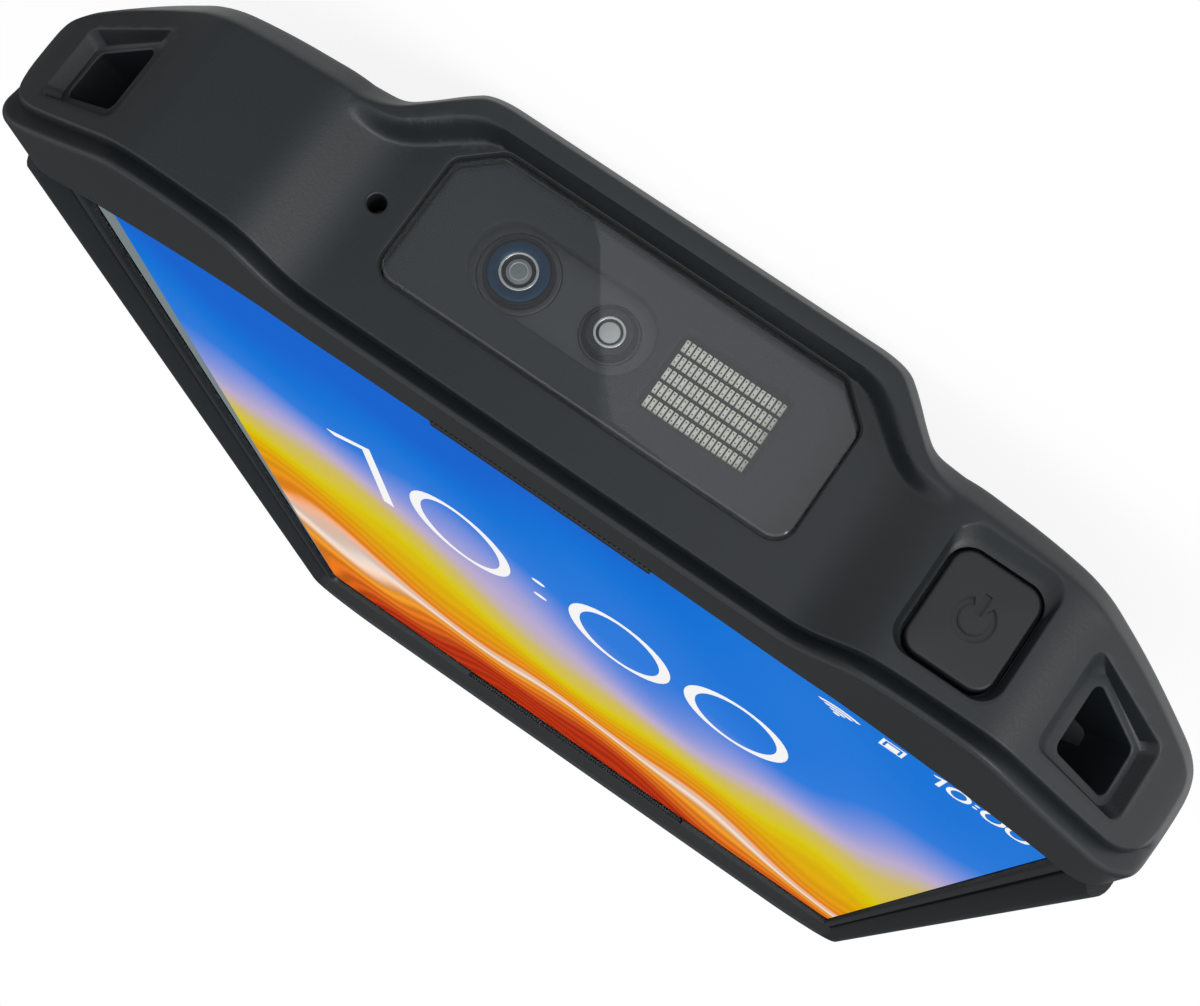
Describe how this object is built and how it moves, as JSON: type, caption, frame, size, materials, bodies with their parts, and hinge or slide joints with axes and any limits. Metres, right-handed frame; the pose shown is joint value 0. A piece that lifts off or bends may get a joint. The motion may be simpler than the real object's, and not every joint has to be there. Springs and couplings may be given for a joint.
{
  "type": "portable barcode data terminal",
  "caption": "Rugged handheld data terminal with a large touch display, an imager scanner in its winged head, side keys and a battery behind a rear door.",
  "frame": {"origin": "under the middle of the body, on the plane that its back lies on", "axes": "+Z out of the display, +Y towards the scanner head, +X to the right of someone facing the display"},
  "size_m": [0.0734, 0.1586, 0.015],
  "materials": {
    "housing_plastic": "fine-textured moulded polycarbonate blend, charcoal",
    "rear_plastic": "fine-textured moulded polycarbonate blend, charcoal",
    "key_plastic": "smooth matt key cap",
    "scan_key_plastic": "smooth matt key cap, muted orange",
    "cover_glass": "hardened glass, polished",
    "display": "lit display panel",
    "window": "polished tinted acrylic",
    "black_mask": "matt black inside the window",
    "elastomer": "matt elastomer seal",
    "lens_barrel": "black anodised",
    "optics": "coated lens glass",
    "emitter_board": "matt board",
    "emitters": "pale emitter packages",
    "chassis_metal": "plain die-cast plate",
    "engine_metal": "plain die-cast block",
    "circuit_board": "solder-masked laminate",
    "shield_metal": "tin-plated steel sheet",
    "connector_metal": "stainless shell",
    "flex": "amber polyimide",
    "switch_metal": "stainless dome in a small can",
    "mesh": "black woven mesh",
    "component_black": "moulded component body",
    "motor_metal": "drawn can",
    "battery_wrap": "moulded battery case",
    "gold_contacts": "gold-plated pads",
    "screw_steel": "blackened steel",
    "pin_steel": "ground steel pin"
  },
  "bodies": {
    "housing": {"head_crown": "housing_plastic", "front_frame": "housing_plastic", "rear_housing": "rear_plastic", "cover_glass": "cover_glass", "display_panel": "display", "midframe": "chassis_metal", "scan_window": "window", "window_gasket": "elastomer", "optics_baffle": "black_mask", "engine_chassis": "engine_metal", "imager_barrel": "lens_barrel", "imager_lens": "optics", "aimer_barrel": "lens_barrel", "aimer_lens": "optics", "led_board": "emitter_board", "led_rows": "emitters", "top_microphone": "component_black", "earpiece": "component_black", "earpiece_mesh": "mesh", "power_switch": "switch_metal", "side_switches": "switch_metal", "key_flex": "flex", "main_board": "circuit_board", "board_shield": "shield_metal", "bottom_board": "circuit_board", "usb_socket": "connector_metal", "loudspeaker": "component_black", "vibration_motor": "motor_metal", "front_speaker_mesh": "mesh", "battery_pack": "battery_wrap", "battery_contacts": "component_black", "hinge_pin": "pin_steel", "camera_module": "component_black", "camera_window": "window", "flash_lens": "emitters", "dock_contacts": "gold_contacts", "housing_screws": "screw_steel", "head_screws": "screw_steel", "housing_seal": "elastomer"},
    "power_key": {"power_key": "key_plastic"},
    "left_scan_key": {"left_scan_key": "scan_key_plastic"},
    "right_scan_key": {"right_scan_key": "scan_key_plastic"},
    "function_key": {"function_key": "key_plastic"},
    "volume_rocker": {"volume_rocker": "key_plastic"},
    "battery_door": {"battery_door": "rear_plastic"},
    "battery_latch": {"battery_latch": "key_plastic"},
    "port_cover": {"port_cover": "elastomer"}
  },
  "joints": [
    {"name": "power_press", "type": "slide", "parent": "housing", "child": "power_key", "axis": [0, -1, 0], "range_m": [0, 0.0003], "stiffness_N_per_m": 8000},
    {"name": "left_scan_press", "type": "slide", "parent": "housing", "child": "left_scan_key", "axis": [1, 0, 0], "range_m": [0, 0.0003], "stiffness_N_per_m": 8000},
    {"name": "right_scan_press", "type": "slide", "parent": "housing", "child": "right_scan_key", "axis": [-1, 0, 0], "range_m": [0, 0.0003], "stiffness_N_per_m": 8000},
    {"name": "function_press", "type": "slide", "parent": "housing", "child": "function_key", "axis": [-1, 0, 0], "range_m": [0, 0.0003], "stiffness_N_per_m": 8000},
    {"name": "volume_rock", "type": "hinge", "parent": "housing", "child": "volume_rocker", "pos_m": [-0.0348, -0.01685, 0.00955], "axis": [0, 0, 1], "range_deg": [-1.5, 1.5], "stiffness_Nm_per_rad": 0.45},
    {"name": "battery_door_swing", "type": "hinge", "parent": "housing", "child": "battery_door", "pos_m": [0, 0.01555, 0.00075], "axis": [1, 0, 0], "range_deg": [0, 75]},
    {"name": "battery_latch_slide", "type": "slide", "parent": "battery_door", "child": "battery_latch", "axis": [0, -1, 0], "range_m": [0, 0.002]},
    {"name": "port_cover_swing", "type": "hinge", "parent": "housing", "child": "port_cover", "pos_m": [0, -0.07795, 0.0048], "axis": [1, 0, 0], "range_deg": [0, 100]}
  ]
}
